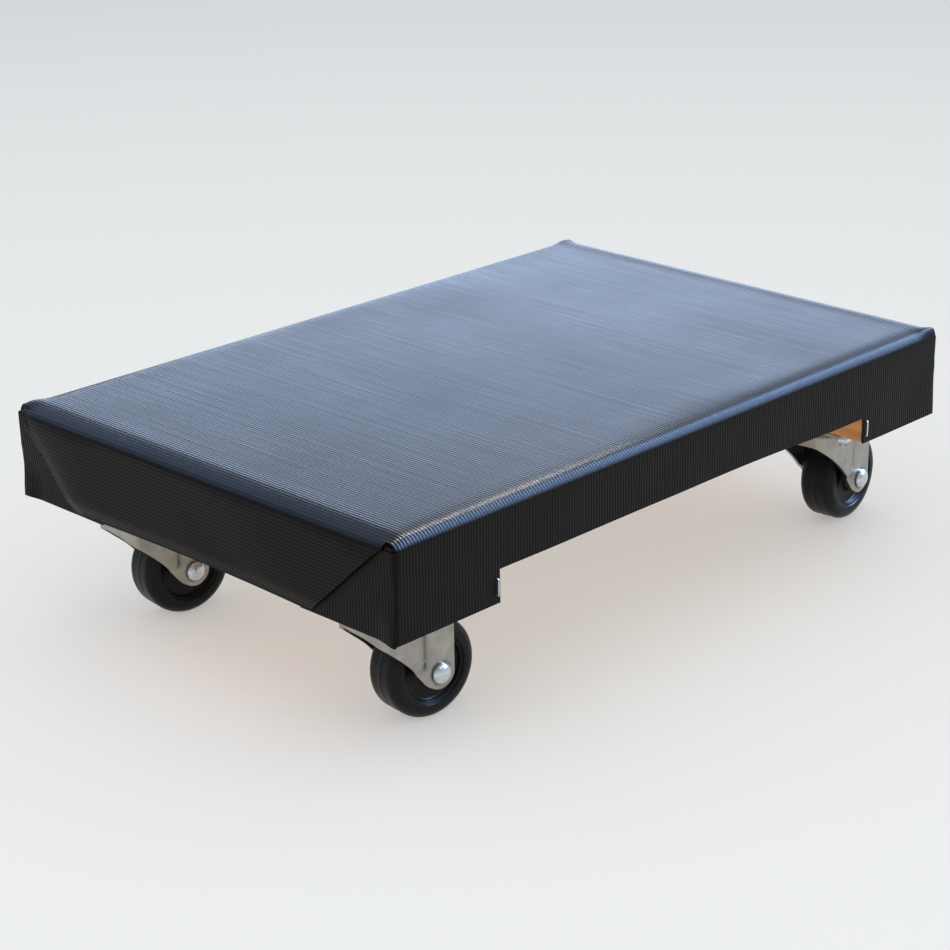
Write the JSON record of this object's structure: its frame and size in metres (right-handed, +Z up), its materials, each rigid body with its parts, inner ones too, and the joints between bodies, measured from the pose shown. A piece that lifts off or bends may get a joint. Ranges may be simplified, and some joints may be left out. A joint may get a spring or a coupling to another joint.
{
  "type": "furniture dolly",
  "caption": "Rectangular wooden dolly with a ribbed rubber cover over its deck and sides, on swivel plate casters with hard rubber wheels.",
  "frame": {"origin": "on the floor, under the middle of the deck", "axes": "+X along the long side towards the rear end, where the casters trail; +Y across, towards the right side; +Z up"},
  "size_m": [0.6342, 0.4146, 0.1766],
  "materials": {
    "deck_wood": "satin varnish",
    "cover_rubber": "satin, ribbed",
    "wheel_rubber": "satin",
    "zinc_sheet": "bright zinc plating",
    "bright_steel": "bright zinc plating"
  },
  "bodies": {
    "deck": {"deck_board_1": "deck_wood", "deck_board_2": "deck_wood", "deck_board_3": "deck_wood", "side_rail_left": "deck_wood", "side_rail_right": "deck_wood", "end_cleat_front": "deck_wood", "end_cleat_rear": "deck_wood", "rubber_cover": "cover_rubber", "staple_front_left": "bright_steel", "staple_front_right": "bright_steel", "staple_rear_left": "bright_steel", "staple_rear_right": "bright_steel", "top_plate_front_left": "zinc_sheet", "kingpin_front_left": "bright_steel", "race_cup_front_left": "zinc_sheet", "bolt_front_left_1": "bright_steel", "bolt_front_left_2": "bright_steel", "bolt_front_left_3": "bright_steel", "bolt_front_left_4": "bright_steel", "top_plate_front_right": "zinc_sheet", "kingpin_front_right": "bright_steel", "race_cup_front_right": "zinc_sheet", "bolt_front_right_1": "bright_steel", "bolt_front_right_2": "bright_steel", "bolt_front_right_3": "bright_steel", "bolt_front_right_4": "bright_steel", "top_plate_rear_left": "zinc_sheet", "kingpin_rear_left": "bright_steel", "race_cup_rear_left": "zinc_sheet", "bolt_rear_left_1": "bright_steel", "bolt_rear_left_2": "bright_steel", "bolt_rear_left_3": "bright_steel", "bolt_rear_left_4": "bright_steel", "top_plate_rear_right": "zinc_sheet", "kingpin_rear_right": "bright_steel", "race_cup_rear_right": "zinc_sheet", "bolt_rear_right_1": "bright_steel", "bolt_rear_right_2": "bright_steel", "bolt_rear_right_3": "bright_steel", "bolt_rear_right_4": "bright_steel"},
    "swivel_front_left": {"fork_front_left": "zinc_sheet", "ball_ring_front_left": "bright_steel", "axle_front_left": "bright_steel", "bushing_front_left": "bright_steel"},
    "wheel_front_left": {"wheel_front_left": "wheel_rubber"},
    "swivel_front_right": {"fork_front_right": "zinc_sheet", "ball_ring_front_right": "bright_steel", "axle_front_right": "bright_steel", "bushing_front_right": "bright_steel"},
    "wheel_front_right": {"wheel_front_right": "wheel_rubber"},
    "swivel_rear_left": {"fork_rear_left": "zinc_sheet", "ball_ring_rear_left": "bright_steel", "axle_rear_left": "bright_steel", "bushing_rear_left": "bright_steel"},
    "wheel_rear_left": {"wheel_rear_left": "wheel_rubber"},
    "swivel_rear_right": {"fork_rear_right": "zinc_sheet", "ball_ring_rear_right": "bright_steel", "axle_rear_right": "bright_steel", "bushing_rear_right": "bright_steel"},
    "wheel_rear_right": {"wheel_rear_right": "wheel_rubber"}
  },
  "joints": [
    {"name": "swivel_front_left", "type": "hinge", "parent": "deck", "child": "swivel_front_left", "pos_m": [-0.2527, -0.1349, 0.0927], "axis": [0, 0, 1], "continuous": true},
    {"name": "roll_front_left", "type": "hinge", "parent": "swivel_front_left", "child": "wheel_front_left", "pos_m": [-0.22348, -0.13818, 0.0381], "axis": [0.1115, 0.9938, 0], "continuous": true},
    {"name": "swivel_front_right", "type": "hinge", "parent": "deck", "child": "swivel_front_right", "pos_m": [-0.2527, 0.1349, 0.0927], "axis": [0, 0, 1], "continuous": true},
    {"name": "roll_front_right", "type": "hinge", "parent": "swivel_front_right", "child": "wheel_front_right", "pos_m": [-0.22354, 0.13116, 0.0381], "axis": [0.1271, 0.9919, 0], "continuous": true},
    {"name": "swivel_rear_left", "type": "hinge", "parent": "deck", "child": "swivel_rear_left", "pos_m": [0.2527, -0.1349, 0.0927], "axis": [0, 0, 1], "continuous": true},
    {"name": "roll_rear_left", "type": "hinge", "parent": "swivel_rear_left", "child": "wheel_rear_left", "pos_m": [0.28199, -0.13234, 0.0381], "axis": [-0.0872, 0.9962, 0], "continuous": true},
    {"name": "swivel_rear_right", "type": "hinge", "parent": "deck", "child": "swivel_rear_right", "pos_m": [0.2527, 0.1349, 0.0927], "axis": [0, 0, 1], "continuous": true},
    {"name": "roll_rear_right", "type": "hinge", "parent": "swivel_rear_right", "child": "wheel_rear_right", "pos_m": [0.28206, 0.13336, 0.0381], "axis": [0.0523, 0.9986, 0], "continuous": true}
  ]
}
